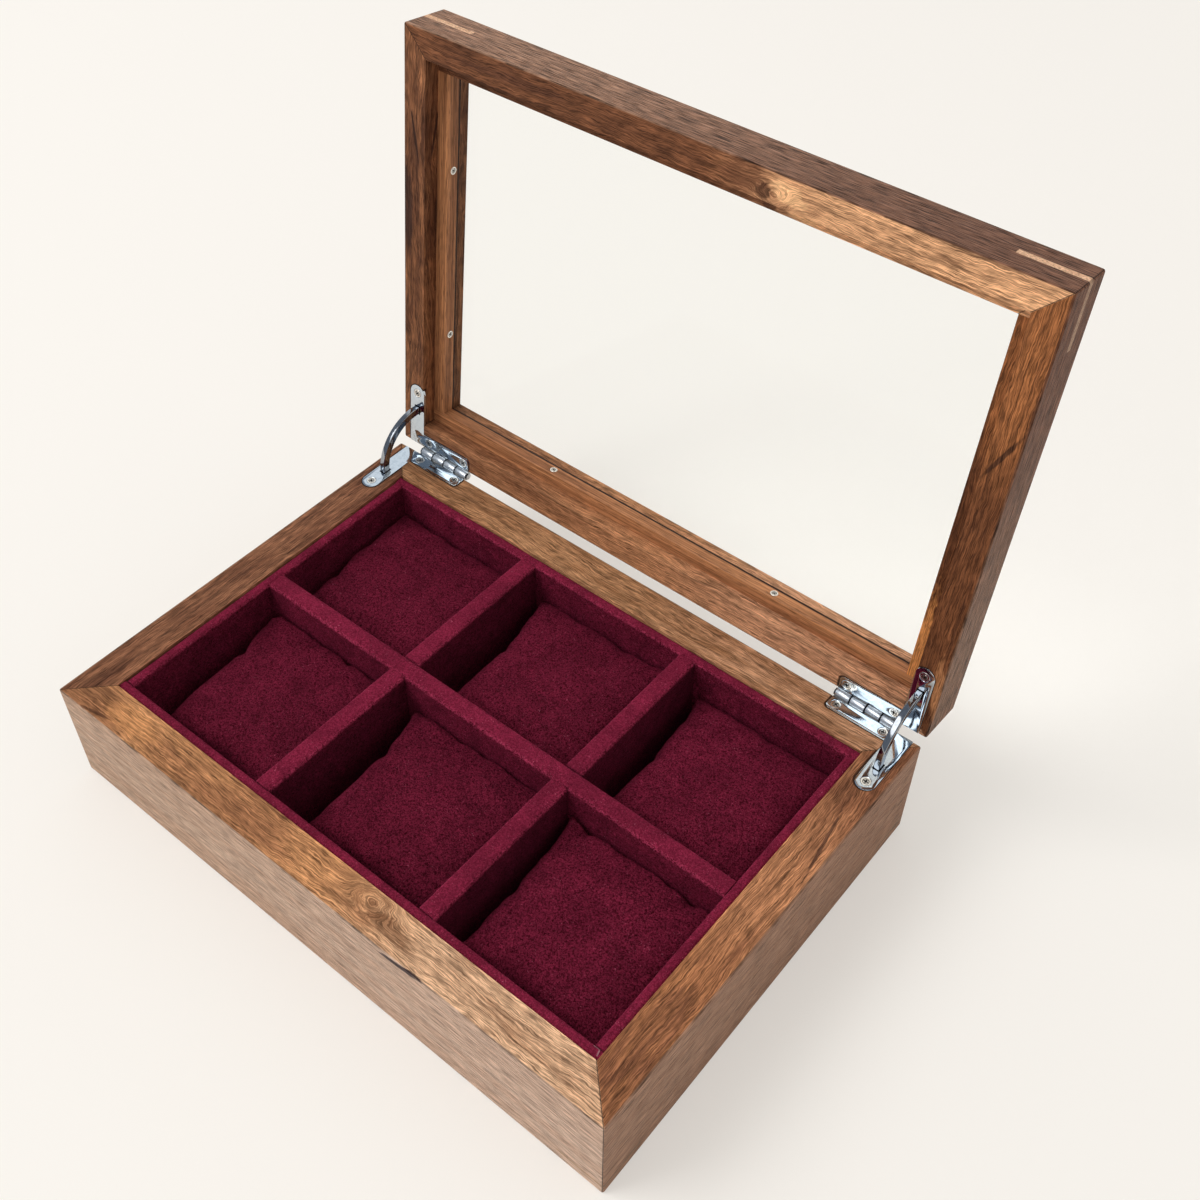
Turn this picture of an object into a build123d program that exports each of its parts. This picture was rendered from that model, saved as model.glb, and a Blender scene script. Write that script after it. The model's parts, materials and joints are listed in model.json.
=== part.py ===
from build123d import *
import os
from math import asin, degrees, sqrt

# Wooden watch box: a mitred base with a fabric-lined tray of six cushions, and a
# mitred lid with a glass pane, held by two quadrant hinges.
# Millimetres and degrees. The origin is the centre of the underside, +X runs to the
# right seen from the front, +Y to the hinge side, +Z up. Lid pieces are drawn shut
# and then swung open to the angle at which the stay arms hold them.

# Base box
box_length = 300.0
box_depth = 208.0
base_height = 55.5
base_wall = 17.5
corner_round = 1.0
top_edge_round = 0.5
bottom_edge_round = 0.9

# Bottom panel, let into a rabbet in the walls
panel_thickness = 5.0
panel_rabbet = 6.0
panel_clearance = 0.2

# Corner keys of the base
base_key_leg = 22.0
base_key_thickness = 1.3
base_key_height = 6.2

# Lined tray
tray_floor_thickness = 3.0
liner_thickness = 4.5
liner_top_drop = 0.8
divider_thickness = 9.0
divider_offset = 46.0
liner_round = 1.6
divider_round = 2.4
tray_clearance = 0.1

# Cushions
cushion_wall_gap = 2.7
cushion_crown_drop = 14.0
cushion_crown = 13.5
cushion_flattening = 5.0
cushion_draw = 1.8
cushion_end_swell = 1.6
cushion_seat_gap = 0.3

# Lid frame
lid_thickness = 23.5
lid_mating_width = 12.3
lid_lip_width = 3.8
lid_lip_thickness = 5.5
lid_edge_round = 0.7
lid_key_leg = 27.0
lid_key_thickness = 3.0
lid_key_depth = 12.3

# Glass and the strips that hold it
glass_thickness = 3.0
glass_clearance = 0.3
strip_width = 6.5
strip_depth = 7.0
strip_screw_offset_x = 63.0
strip_screw_offset_y = 41.5
strip_screw_head_radius = 1.9
strip_screw_shank_radius = 1.0
strip_screw_length = 13.0

# Quadrant hinges
lid_open_angle = 97.0
parting_gap = 0.2
axis_setback = 2.6
knuckle_radius = 2.25
knuckle_pitch = 7.5
knuckle_count = 4
knuckle_gap = 0.25
pin_radius = 1.0
pin_running_clearance = 0.05
pin_head_radius = 1.6
pin_head_length = 0.7
leaf_thickness = 1.5
leaf_inset = 4.0
side_leg_width = 9.0
side_leg_length = 34.0
back_leg_width = 7.0
leaf_corner_round = 1.8
leaf_fit = 0.25
leaf_screw_head_radius = 2.3
leaf_screw_shank_radius = 1.2
leaf_screw_length = 10.0
leaf_screw_edge = 3.5

# Stay arms
arm_radius = 22.5
arm_width = 4.0
arm_thickness = 2.8
arm_head_width = 5.6
arm_head_length = 1.8
arm_clearance = 0.4
arm_head_gap = 0.3

# Screws
screw_fit = 0.05
screw_slot_width = 0.6
screw_slot_depth = 0.8

# Places worked out from the sizes above
half_length = box_length / 2
half_depth = box_depth / 2
lid_plane = base_height + parting_gap
lid_top = lid_plane + lid_thickness
axis_y = half_depth + axis_setback
axis_z = base_height + parting_gap / 2
hinge_axis = Axis((0, axis_y, axis_z), (1, 0, 0))
rabbet_depth = lid_thickness - lid_lip_thickness
strip_top = rabbet_depth - glass_thickness
strip_face = strip_top - strip_depth
tray_bottom = panel_thickness
liner_bottom = tray_bottom + tray_floor_thickness
liner_top = base_height - liner_top_drop
liner_outer_x = half_length - base_wall - tray_clearance
liner_outer_y = half_depth - base_wall - tray_clearance
liner_inner_x = liner_outer_x - liner_thickness
liner_inner_y = liner_outer_y - liner_thickness
half_divider = divider_thickness / 2
cushion_seam = base_height - cushion_crown_drop - cushion_crown
knuckle_start = leaf_inset + side_leg_width
back_leg_reach = knuckle_start + knuckle_count * knuckle_pitch
side_screw_depth = side_leg_length - side_leg_width / 2
arm_plane = leaf_inset + side_leg_width / 2
head_start = degrees(
    asin((leaf_thickness + parting_gap / 2 + arm_head_gap) / (arm_radius - arm_head_width / 2))
)
arm_overrun = head_start + degrees(arm_head_length / arm_radius)
SIDES = ("left", "right")

os.makedirs("parts", exist_ok=True)


def save(name, *solids):
    shape = solids[0] if len(solids) == 1 else Compound(children=list(solids))
    export_step(shape, f"parts/{name}.step")


def block(low, high):
    size = [b - a for a, b in zip(low, high)]
    return Pos(*low) * Box(*size, align=(Align.MIN, Align.MIN, Align.MIN))


def prism(points, z_low, z_high):
    outline = make_face(Polyline(*points, close=True))
    return Pos(0, 0, z_low) * extrude(outline, z_high - z_low)


def on_side(shape, side):
    return mirror(shape, about=Plane.YZ) if side == "right" else shape


def turned_over(shape):
    middle = Plane(origin=(0, 0, axis_z), z_dir=(0, 0, 1))
    return mirror(shape, about=middle)


def opened(shape):
    return shape.rotate(hinge_axis, -lid_open_angle)


def on_four_sides(front_bar, side_bar):
    # The bars lie along X with their outer face on Y = 0 and their width towards +Y.
    return {
        "front": Pos(0, -half_depth, 0) * front_bar,
        "back": Pos(0, half_depth, 0) * Rot(0, 0, 180) * front_bar,
        "left": Pos(-half_length, 0, 0) * Rot(0, 0, -90) * side_bar,
        "right": Pos(half_length, 0, 0) * Rot(0, 0, 90) * side_bar,
    }


def mitred_bar(section, length, width):
    face = Plane.YZ * make_face(Polyline(*section, close=True))
    bar = extrude(face, length / 2, both=True)
    heights = [point[1] for point in section]
    outline = [
        (-length / 2, 0),
        (length / 2, 0),
        (length / 2 - width, width),
        (-length / 2 + width, width),
    ]
    return bar & prism(outline, min(heights) - 1, max(heights) + 1)


def eased_block(z_low, z_high, low_round, high_round):
    # The whole outline of the base or lid, with its outer edges eased.
    body = block((-half_length, -half_depth, z_low), (half_length, half_depth, z_high))
    body = fillet(body.edges().filter_by(Axis.Z), corner_round)
    body = fillet(body.faces().sort_by(Axis.Z)[0].edges(), low_round)
    return fillet(body.faces().sort_by(Axis.Z)[-1].edges(), high_round)


def corner_key(x_side, y_side, leg, thickness, middle):
    corner = (x_side * half_length, y_side * half_depth)
    points = [
        corner,
        (corner[0] - x_side * leg, corner[1]),
        (corner[0], corner[1] - y_side * leg),
    ]
    return prism(points, middle - thickness / 2, middle + thickness / 2)


def screw_body(head_radius, shank_radius, length):
    # Head top at the origin, shank towards -Z.
    points = [
        (0, 0),
        (head_radius, 0),
        (shank_radius, shank_radius - head_radius),
        (shank_radius, shank_radius / 2 - length),
        (shank_radius / 2, -length),
        (0, -length),
    ]
    return revolve(Plane.XZ * make_face(Polyline(*points, close=True)), Axis.Z)


def cross_slot_screw(head_radius, shank_radius, length):
    body = screw_body(head_radius, shank_radius, length)
    for turn in (45, 135):
        body -= Rot(0, 0, turn) * Box(head_radius * 1.1, screw_slot_width, 2 * screw_slot_depth)
    return body


def screw_hole(head_radius, shank_radius, length):
    head = head_radius + screw_fit
    mouth = Cylinder(head, screw_fit, align=(Align.CENTER, Align.CENTER, Align.MIN))
    return mouth + screw_body(head, shank_radius + screw_fit, length + screw_fit)


# Quadrant hinge leaves

def leaf_plan(extra):
    # The L-shaped plate of the left hinge seen from above, grown by extra all round.
    left = -half_length + leaf_inset - extra
    side_right = -half_length + leaf_inset + side_leg_width + extra
    back_right = -half_length + back_leg_reach + extra
    back = half_depth + extra
    round_middle = half_depth - side_screw_depth
    side_leg = block((left, round_middle, 0), (side_right, back, 1))
    side_end = Pos(-half_length + arm_plane, round_middle, 0.5)
    side_end *= Cylinder(side_leg_width / 2 + extra, 1)
    back_leg = block((left, half_depth - back_leg_width - extra, 0), (back_right, back, 1))
    far_corner = back_leg.edges().filter_by(Axis.Z).group_by(Axis.X)[-1].sort_by(Axis.Y)[0]
    back_leg = fillet(far_corner, min(leaf_corner_round, 0.45 * back_leg_width))
    return side_leg + side_end + back_leg


def leaf_plate(extra, z_low, z_high):
    sheet = leaf_plan(extra).faces().sort_by(Axis.Z)[0]
    sheet = Pos(0, 0, z_low - sheet.center().Z) * sheet
    return extrude(sheet, amount=z_high - z_low, dir=(0, 0, 1))


def on_axis(x_start, length, radius):
    return Pos(x_start + length / 2, axis_y, axis_z) * Rot(0, 90, 0) * Cylinder(radius, length)


def screw_places():
    back_leg_middle = half_depth - back_leg_width / 2
    return [
        (-half_length + arm_plane, half_depth - side_screw_depth),
        (-half_length + knuckle_start + leaf_screw_edge, back_leg_middle),
        (-half_length + back_leg_reach - leaf_screw_edge, back_leg_middle),
    ]


def leaf_screws(make):
    one = make(leaf_screw_head_radius, leaf_screw_shank_radius, leaf_screw_length)
    return [Pos(x, y, base_height) * one for x, y in screw_places()]


def hinge_leaf(first_knuckle):
    # The base's leaf of the left hinge; the lid's leaf is the same plate turned over,
    # with the knuckles between those of the base.
    plate = leaf_plate(0, base_height - leaf_thickness, base_height)
    plate &= block((-half_length, -half_depth, 0), (half_length, half_depth, base_height))
    slot = arm_width + 2 * arm_clearance
    slot_x = -half_length + arm_plane
    slot_y = axis_y - arm_radius
    half_slot_x = arm_thickness / 2 + arm_clearance
    plate -= block(
        (slot_x - half_slot_x, slot_y - slot / 2, base_height - 2 * leaf_thickness),
        (slot_x + half_slot_x, slot_y + slot / 2, base_height + leaf_thickness),
    )
    for hole in leaf_screws(screw_hole):
        plate -= hole
    length = knuckle_pitch - knuckle_gap
    for index in range(first_knuckle, knuckle_count, 2):
        start = -half_length + knuckle_start + index * knuckle_pitch + knuckle_gap / 2
        tab = block(
            (start, half_depth - 1, base_height - leaf_thickness),
            (start + length, axis_y, base_height),
        )
        plate = plate + tab + on_axis(start, length, knuckle_radius)
    bore_length = back_leg_reach + pin_head_length
    return plate - on_axis(-half_length, bore_length, pin_radius + pin_running_clearance)


def hinge_pin():
    start = -half_length + knuckle_start
    length = knuckle_count * knuckle_pitch
    pin = on_axis(start, length, pin_radius)
    for end in (start - pin_head_length, start + length):
        pin += on_axis(end, pin_head_length, pin_head_radius)
    return pin


# Stay arms and the curved mortises that they slide in

def ring_sector(thickness, width, angle_low, angle_high):
    # A curved bar about the hinge axis on the left hinge's arm plane. Angles are
    # measured from the forward direction, upwards.
    inner = arm_radius - width / 2
    outer = arm_radius + width / 2
    span = angle_high - angle_low
    arcs = [CenterArc((axis_y, axis_z), r, 180 - angle_high, span) for r in (inner, outer)]
    edges = arcs + [Line(arcs[0] @ 0, arcs[1] @ 0), Line(arcs[0] @ 1, arcs[1] @ 1)]
    face = Plane.YZ * make_face(edges)
    middle = -half_length + arm_plane
    return Pos(middle, 0, 0) * extrude(face, thickness / 2, both=True)


def stay_arm():
    top = lid_open_angle + arm_overrun
    bar = ring_sector(arm_thickness, arm_width, -arm_overrun, top)
    low_head = ring_sector(arm_thickness, arm_head_width, -arm_overrun, -head_start)
    high_head = ring_sector(arm_thickness, arm_head_width, lid_open_angle + head_start, top)
    return bar + low_head + high_head


def arm_mortise():
    clear = degrees(arm_clearance / arm_radius)
    reach = lid_open_angle / 2 + arm_overrun + clear
    thickness = arm_thickness + 2 * arm_clearance
    width = arm_head_width + 2 * arm_clearance
    return ring_sector(thickness, width, -reach, 0)


def hinge_cuts(side):
    # What the left or right hinge takes out of the base; the lid's cuts mirror it.
    recess = leaf_plate(leaf_fit, base_height - leaf_thickness, base_height + 1)
    return [on_side(cut, side) for cut in [recess, arm_mortise(), *leaf_screws(screw_hole)]]


# Base

base_outline = eased_block(0, base_height, bottom_edge_round, top_edge_round)
wall_section = [
    (0, 0),
    (base_wall - panel_rabbet, 0),
    (base_wall - panel_rabbet, panel_thickness),
    (base_wall, panel_thickness),
    (base_wall, base_height),
    (0, base_height),
]
base_keys = [
    corner_key(x, y, base_key_leg, base_key_thickness, base_key_height)
    for x in (-1, 1)
    for y in (-1, 1)
]
walls = on_four_sides(
    mitred_bar(wall_section, box_length, base_wall),
    mitred_bar(wall_section, box_depth, base_wall),
)
base_cuts = hinge_cuts("left") + hinge_cuts("right")
for place, wall in walls.items():
    wall &= base_outline
    for cut in base_keys + base_cuts:
        wall -= cut
    save(f"base_{place}_wall", wall)
save("base_corner_keys", *[key & base_outline for key in base_keys])

panel_half_x = half_length - base_wall + panel_rabbet - panel_clearance
panel_half_y = half_depth - base_wall + panel_rabbet - panel_clearance
save(
    "base_bottom_panel",
    block((-panel_half_x, -panel_half_y, 0), (panel_half_x, panel_half_y, panel_thickness)),
)


# Lined tray

def rounded_board(low, high, radius, along):
    board = block(low, high)
    thickness = min(high[0] - low[0], high[1] - low[1])
    top = board.faces().sort_by(Axis.Z)[-1].edges().filter_by(along)
    return fillet(top, min(radius, 0.45 * thickness))


save(
    "tray_floor",
    block((-liner_outer_x, -liner_outer_y, tray_bottom), (liner_outer_x, liner_outer_y, liner_bottom)),
)
front_liner = rounded_board(
    (-liner_outer_x, -liner_outer_y, liner_bottom),
    (liner_outer_x, -liner_inner_y, liner_top),
    liner_round,
    Axis.X,
)
left_liner = rounded_board(
    (-liner_outer_x, -liner_inner_y + tray_clearance, liner_bottom),
    (-liner_inner_x, liner_inner_y - tray_clearance, liner_top),
    liner_round,
    Axis.Y,
)
save("tray_liner_front", front_liner)
save("tray_liner_back", mirror(front_liner, about=Plane.XZ))
save("tray_liner_left", left_liner)
save("tray_liner_right", mirror(left_liner, about=Plane.YZ))

divider_half_x = liner_inner_x - tray_clearance
divider_half_y = liner_inner_y - tray_clearance
long_divider = rounded_board(
    (-divider_half_x, -half_divider, liner_bottom),
    (divider_half_x, half_divider, liner_top),
    divider_round,
    Axis.X,
)
lap_height = (liner_bottom + liner_top) / 2
lap_reach = half_divider + tray_clearance
for place, centre in (("left", -divider_offset), ("right", divider_offset)):
    long_divider -= block(
        (centre - lap_reach, -lap_reach, liner_bottom - 1),
        (centre + lap_reach, lap_reach, lap_height + tray_clearance),
    )
    short_divider = rounded_board(
        (centre - half_divider, -divider_half_y, liner_bottom),
        (centre + half_divider, divider_half_y, liner_top),
        divider_round,
        Axis.Y,
    )
    short_divider -= block(
        (centre - divider_thickness, -lap_reach, lap_height),
        (centre + divider_thickness, lap_reach, base_height),
    )
    save(f"tray_short_divider_{place}", short_divider)
save("tray_long_divider", long_divider)


# Cushions: two arcs per section meet at the seam, and the plan is drawn in on all sides

def cushion(half_x, half_y, belly_depth):
    sections = []
    for share in (-1.0, -0.75, -0.4, 0.0, 0.4, 0.75, 1.0):
        swell = sqrt(max(0.0, 1 - abs(share) ** 2.4))
        top = cushion_end_swell + (cushion_crown - cushion_end_swell) * swell
        belly = cushion_end_swell + (belly_depth - cushion_end_swell) * swell
        width = half_x - cushion_draw * (1 - share**2)
        plane = Plane(origin=(0, share * half_y, 0), x_dir=(1, 0, 0), z_dir=(0, -1, 0))
        upper = ThreePointArc((-width, 0), (0, top), (width, 0))
        lower = ThreePointArc((width, 0), (0, -belly), (-width, 0))
        sections.append(plane * make_face([upper, lower]))
    plan = make_face([
        ThreePointArc((-half_x, -half_y), (0, cushion_draw - half_y), (half_x, -half_y)),
        Line((half_x, -half_y), (half_x, half_y)),
        ThreePointArc((half_x, half_y), (0, half_y - cushion_draw), (-half_x, half_y)),
        Line((-half_x, half_y), (-half_x, -half_y)),
    ])
    return loft(sections) & extrude(plan, belly_depth, both=True)


outer_column_width = liner_inner_x - divider_offset - half_divider
middle_column_width = 2 * (divider_offset - half_divider)
row_depth = liner_inner_y - half_divider
column_middle = divider_offset + half_divider + outer_column_width / 2
row_middle = half_divider + row_depth / 2
cushion_half_x = min(outer_column_width, middle_column_width) / 2 - cushion_wall_gap
cushion_half_y = row_depth / 2 - cushion_wall_gap
cushion_belly = cushion_seam - liner_bottom + cushion_flattening
seat = liner_bottom + cushion_seat_gap
one_cushion = Pos(0, 0, cushion_seam) * cushion(cushion_half_x, cushion_half_y, cushion_belly)
one_cushion &= block(
    (-cushion_half_x, -cushion_half_y, seat), (cushion_half_x, cushion_half_y, base_height)
)
for row, y in (("front", -row_middle), ("back", row_middle)):
    for column, x in (("left", -column_middle), ("middle", 0), ("right", column_middle)):
        save(f"cushion_{row}_{column}", Pos(x, y, 0) * one_cushion)


# Lid

lid_width = lid_mating_width + lid_lip_width
lid_outline = eased_block(lid_plane, lid_top, top_edge_round, lid_edge_round)
frame_section = [
    (0, lid_plane),
    (lid_mating_width, lid_plane),
    (lid_mating_width, lid_plane + rabbet_depth),
    (lid_width, lid_plane + rabbet_depth),
    (lid_width, lid_top),
    (0, lid_top),
]
rabbet_half_x = half_length - lid_mating_width
rabbet_half_y = half_depth - lid_mating_width
rabbet_space = block(
    (-rabbet_half_x, -rabbet_half_y, lid_plane), (rabbet_half_x, rabbet_half_y, lid_top)
)
lid_keys = [
    corner_key(x, -1, lid_key_leg, lid_key_thickness, lid_plane + lid_key_depth) - rabbet_space
    for x in (-1, 1)
]


def strip_screws(make):
    # Two screws per strip, driven sideways from the strip's inner face.
    one = make(strip_screw_head_radius, strip_screw_shank_radius, strip_screw_length)
    height = lid_plane + strip_face + strip_depth / 2
    face_x = rabbet_half_x - strip_width
    face_y = rabbet_half_y - strip_width
    screws = []
    for sign in (-1, 1):
        for offset in (-strip_screw_offset_x, strip_screw_offset_x):
            screws.append(Pos(offset, sign * face_y, height) * Rot(sign * 90, 0, 0) * one)
        for offset in (-strip_screw_offset_y, strip_screw_offset_y):
            screws.append(Pos(sign * face_x, offset, height) * Rot(0, -sign * 90, 0) * one)
    return screws


rails = on_four_sides(
    mitred_bar(frame_section, box_length, lid_width),
    mitred_bar(frame_section, box_depth, lid_width),
)
lid_cuts = [turned_over(cut) for cut in base_cuts]
for place, rail in rails.items():
    rail &= lid_outline
    for cut in lid_keys + lid_cuts + strip_screws(screw_hole):
        rail -= cut
    kind = "rail" if place in ("front", "back") else "stile"
    save(f"lid_{place}_{kind}", opened(rail))
save("lid_corner_keys", *[opened(key & lid_outline) for key in lid_keys])

glass_half_x = rabbet_half_x - glass_clearance
glass_half_y = rabbet_half_y - glass_clearance
pane = block(
    (-glass_half_x, -glass_half_y, lid_plane + strip_top),
    (glass_half_x, glass_half_y, lid_plane + rabbet_depth),
)
save("glass_pane", opened(pane))

strip_low = lid_plane + strip_face
strip_high = lid_plane + strip_top
strip_blocks = {
    "front": block(
        (-rabbet_half_x, -rabbet_half_y, strip_low),
        (rabbet_half_x, strip_width - rabbet_half_y, strip_high),
    ),
    "left": block(
        (-rabbet_half_x, strip_width - rabbet_half_y, strip_low),
        (strip_width - rabbet_half_x, rabbet_half_y - strip_width, strip_high),
    ),
}
strip_blocks["back"] = mirror(strip_blocks["front"], about=Plane.XZ)
strip_blocks["right"] = mirror(strip_blocks["left"], about=Plane.YZ)
for place, strip in strip_blocks.items():
    for hole in strip_screws(screw_hole):
        strip -= hole
    save(f"glass_strip_{place}", opened(strip))
save("glass_strip_screws", *[opened(screw) for screw in strip_screws(cross_slot_screw)])


# Hinges

base_screws = []
for side in SIDES:
    save(f"hinge_base_leaf_{side}", on_side(hinge_leaf(0), side))
    save(f"hinge_lid_leaf_{side}", opened(on_side(turned_over(hinge_leaf(1)), side)))
    save(f"hinge_pin_{side}", on_side(hinge_pin(), side))
    save(f"stay_arm_{side}", on_side(stay_arm(), side))
    base_screws += [on_side(screw, side) for screw in leaf_screws(cross_slot_screw)]
save("hinge_base_screws", *base_screws)
save("hinge_lid_screws", *[opened(turned_over(screw)) for screw in base_screws])
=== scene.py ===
import json
import math
from collections import namedtuple

import bmesh
import bpy
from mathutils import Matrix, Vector, noise


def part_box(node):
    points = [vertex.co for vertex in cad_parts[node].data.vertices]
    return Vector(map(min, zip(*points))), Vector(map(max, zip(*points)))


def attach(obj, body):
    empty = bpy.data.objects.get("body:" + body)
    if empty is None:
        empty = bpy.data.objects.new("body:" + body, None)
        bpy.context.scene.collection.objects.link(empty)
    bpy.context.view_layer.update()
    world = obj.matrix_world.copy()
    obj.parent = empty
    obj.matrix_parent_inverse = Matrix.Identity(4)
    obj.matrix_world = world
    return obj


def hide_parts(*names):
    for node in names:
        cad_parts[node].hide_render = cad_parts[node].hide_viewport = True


MM = 0.001

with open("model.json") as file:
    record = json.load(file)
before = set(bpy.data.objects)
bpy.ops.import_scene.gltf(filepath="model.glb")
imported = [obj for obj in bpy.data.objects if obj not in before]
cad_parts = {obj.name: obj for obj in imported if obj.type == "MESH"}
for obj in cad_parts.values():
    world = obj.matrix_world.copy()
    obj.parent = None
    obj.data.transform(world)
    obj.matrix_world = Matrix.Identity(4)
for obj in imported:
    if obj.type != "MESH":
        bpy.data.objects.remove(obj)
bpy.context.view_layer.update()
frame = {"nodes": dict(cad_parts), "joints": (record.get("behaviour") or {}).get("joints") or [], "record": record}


# The box's own directions, read from its walls and from the hinge.

hinge = next(joint for joint in frame["joints"] if joint["name"] == "lid_hinge")
lean = math.radians(-hinge["range_deg"][0] - 90)
lid_up = Vector((0, math.sin(lean), math.cos(lean)))
lid_back = Vector((0, math.cos(lean), -math.sin(lean)))
to_right, to_back, upward = Vector((1, 0, 0)), Vector((0, 1, 0)), Vector((0, 0, 1))
origin = Vector((0, 0, 0))

low_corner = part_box("base_front_wall")[0]
high_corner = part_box("base_back_wall")[1]
rim = high_corner.z
box_length = high_corner.x - low_corner.x
box_depth = high_corner.y - low_corner.y
hinge_setback = 2.6 * MM
lid_gap = 0.1 * MM
lid_foot = Vector((0, *hinge["pos_m"][1:])) + hinge_setback * lid_up + lid_gap * lid_back


# Objects and meshes.

def placed(name, data):
    """A new object in the scene."""
    piece = bpy.data.objects.new(name, data)
    bpy.context.collection.objects.link(piece)
    return piece


def taken(piece):
    """The piece's shape with its modifiers worked out, as a plain mesh."""
    return bpy.data.meshes.new_from_object(piece.evaluated_get(bpy.context.evaluated_depsgraph_get()))


def welded(mesh):
    """A CAD mesh with its loose triangles joined."""
    shape = bmesh.new()
    shape.from_mesh(mesh)
    bmesh.ops.remove_doubles(shape, verts=shape.verts, dist=1e-6)
    return shape


def paint(node, material):
    """Give every slot of a CAD node one material."""
    for slot in frame["nodes"][node].material_slots:
        slot.material = material


# Recipes. A recipe is a tree of shader nodes, and a signal is a number or vector on its way through it.

class Signal:
    """A number or vector in a recipe, on which ordinary arithmetic works."""

    def __init__(self, recipe, socket):
        self.recipe = recipe
        self.socket = socket

    def maths(self, operation, first, second):
        return self.recipe.node("ShaderNodeMath", {"operation": operation}, {0: first, 1: second})

    def __add__(self, other):
        return self.maths("ADD", self, other)

    def __radd__(self, other):
        return self.maths("ADD", other, self)

    def __sub__(self, other):
        return self.maths("SUBTRACT", self, other)

    def __rsub__(self, other):
        return self.maths("SUBTRACT", other, self)

    def __mul__(self, other):
        return self.maths("MULTIPLY", self, other)

    def __rmul__(self, other):
        return self.maths("MULTIPLY", other, self)

    def __truediv__(self, other):
        return self.maths("DIVIDE", self, other)

    def __rtruediv__(self, other):
        return self.maths("DIVIDE", other, self)

    def __pow__(self, other):
        return self.maths("POWER", self, other)

    def least(self, other):
        return self.maths("MINIMUM", self, other)

    def most(self, other):
        return self.maths("MAXIMUM", self, other)

    def size(self):
        return self.maths("ABSOLUTE", self, 0)

    def root(self):
        return self.maths("SQRT", self, 0)

    def rise(self, start, end):
        """A smooth step: 0 up to start and 1 from end on, or the other way round where end is less."""
        return self.recipe.node(
            "ShaderNodeMapRange",
            {"interpolation_type": "SMOOTHSTEP"},
            {"Value": self, "From Min": start, "From Max": end},
        )


class Recipe:
    """A node tree, and one way to add any node to it."""

    def __init__(self, tree):
        self.tree = tree

    def feed(self, node, socket, value):
        """Link a signal or a node's first output to a socket, or set the socket to a plain value."""
        if isinstance(value, (Signal, bpy.types.Node)):
            source = value.socket if isinstance(value, Signal) else value.outputs[0]
            self.tree.links.new(source, node.inputs[socket])
        elif hasattr(node.inputs[socket].default_value, "__len__"):
            held = node.inputs[socket].default_value
            node.inputs[socket].default_value = (*value, 1.0) if len(held) > len(value) else value
        else:
            node.inputs[socket].default_value = value

    def node(self, kind, settings, inputs, output=0):
        """Add a node. Its settings come first, then the values or links of its sockets."""
        made = self.tree.nodes.new(kind)
        for setting, value in settings.items():
            if setting == "stops":
                ramp = made.color_ramp
                while len(ramp.elements) < len(value):
                    ramp.elements.new(1.0)
                for stop, (place, level) in zip(ramp.elements, value):
                    stop.position = place
                    stop.color = (level, level, level, 1)
            else:
                setattr(made, setting, value)
        for socket, value in inputs.items():
            self.feed(made, socket, value)
        return Signal(self, made.outputs[output])

    def scaled(self, vector, factor):
        return self.node("ShaderNodeVectorMath", {"operation": "SCALE"}, {0: vector, "Scale": factor})

    def moved(self, vector, step):
        return self.node("ShaderNodeVectorMath", {"operation": "ADD"}, {0: vector, 1: step})

    def towards(self, vector, direction):
        """How far a vector reaches along a direction."""
        return self.node(
            "ShaderNodeVectorMath", {"operation": "DOT_PRODUCT"}, {0: vector, 1: direction}, "Value"
        )

    def away(self, point, centre, direction):
        """How far a point lies from a centre along a direction."""
        return self.towards(self.moved(point, -centre), direction)

    def joined(self, x, y, z):
        return self.node("ShaderNodeCombineXYZ", {}, {0: x, 1: y, 2: z})

    def cloud(self, vector, detail=2.0, rough=0.5, twist=0.0):
        """Smooth noise about 0.5, with lumps one unit wide."""
        return self.node(
            "ShaderNodeTexNoise",
            {"noise_dimensions": "3D"},
            {"Vector": vector, "Scale": 1.0, "Detail": detail, "Roughness": rough, "Distortion": twist},
        )

    def ramp(self, share, stops):
        """A level that follows given stops as share goes from 0 to 1."""
        return self.node("ShaderNodeValToRGB", {"stops": stops}, {0: share})

    def mix(self, first, second, share):
        """A colour on the way from the first to the second."""
        return self.node(
            "ShaderNodeMix", {"data_type": "RGBA", "clamp_factor": True}, {0: share, 6: first, 7: second}, 2
        )

    def bump(self, height, distance):
        return self.node("ShaderNodeBump", {}, {"Strength": 1.0, "Distance": distance, "Height": height})

    def ray(self, *kinds):
        """1 for rays of these kinds, and 0 for others."""
        first, *others = [self.node("ShaderNodeLightPath", {}, {}, f"Is {kind} Ray") for kind in kinds]
        for other in others:
            first = first.most(other)
        return first

    def either(self, share, first, second):
        """A mix of two shaders."""
        return self.node("ShaderNodeMixShader", {}, {0: share, 1: first, 2: second})


class Finish(Recipe):
    """A material: its shader, and the recipe that feeds it."""

    def __init__(self, name, **even):
        self.material = bpy.data.materials.new(name)
        self.material.use_nodes = True
        super().__init__(self.material.node_tree)
        self.shader = self.tree.nodes["Principled BSDF"]
        self.show(**even)

    def place(self):
        """Where a point of the piece lies, in millimetres."""
        point = self.node("ShaderNodeTexCoord", {}, {}, "Object")
        return self.scaled(point, 1 / MM)

    def show(self, **looks):
        """Feed the shader's sockets by name, and give the material."""
        for words, value in looks.items():
            self.feed(self.shader, words.replace("_", " ").title().replace("Ior", "IOR"), value)
        return self.material

    def cover(self, shader):
        """Put another shader in place of the finish's own, and give the material."""
        self.feed(self.tree.nodes["Material Output"], "Surface", shader)
        return self.material


# Walnut. A plank's own millimetres run along its grain from one mitre, across its show face from the
# outer edge, and deep down its outer side. Its figure and marks are placed in them. A mark's wrap is
# its place across, which is negative on the outer side. Colours fade from gold to pale along the grain.

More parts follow.
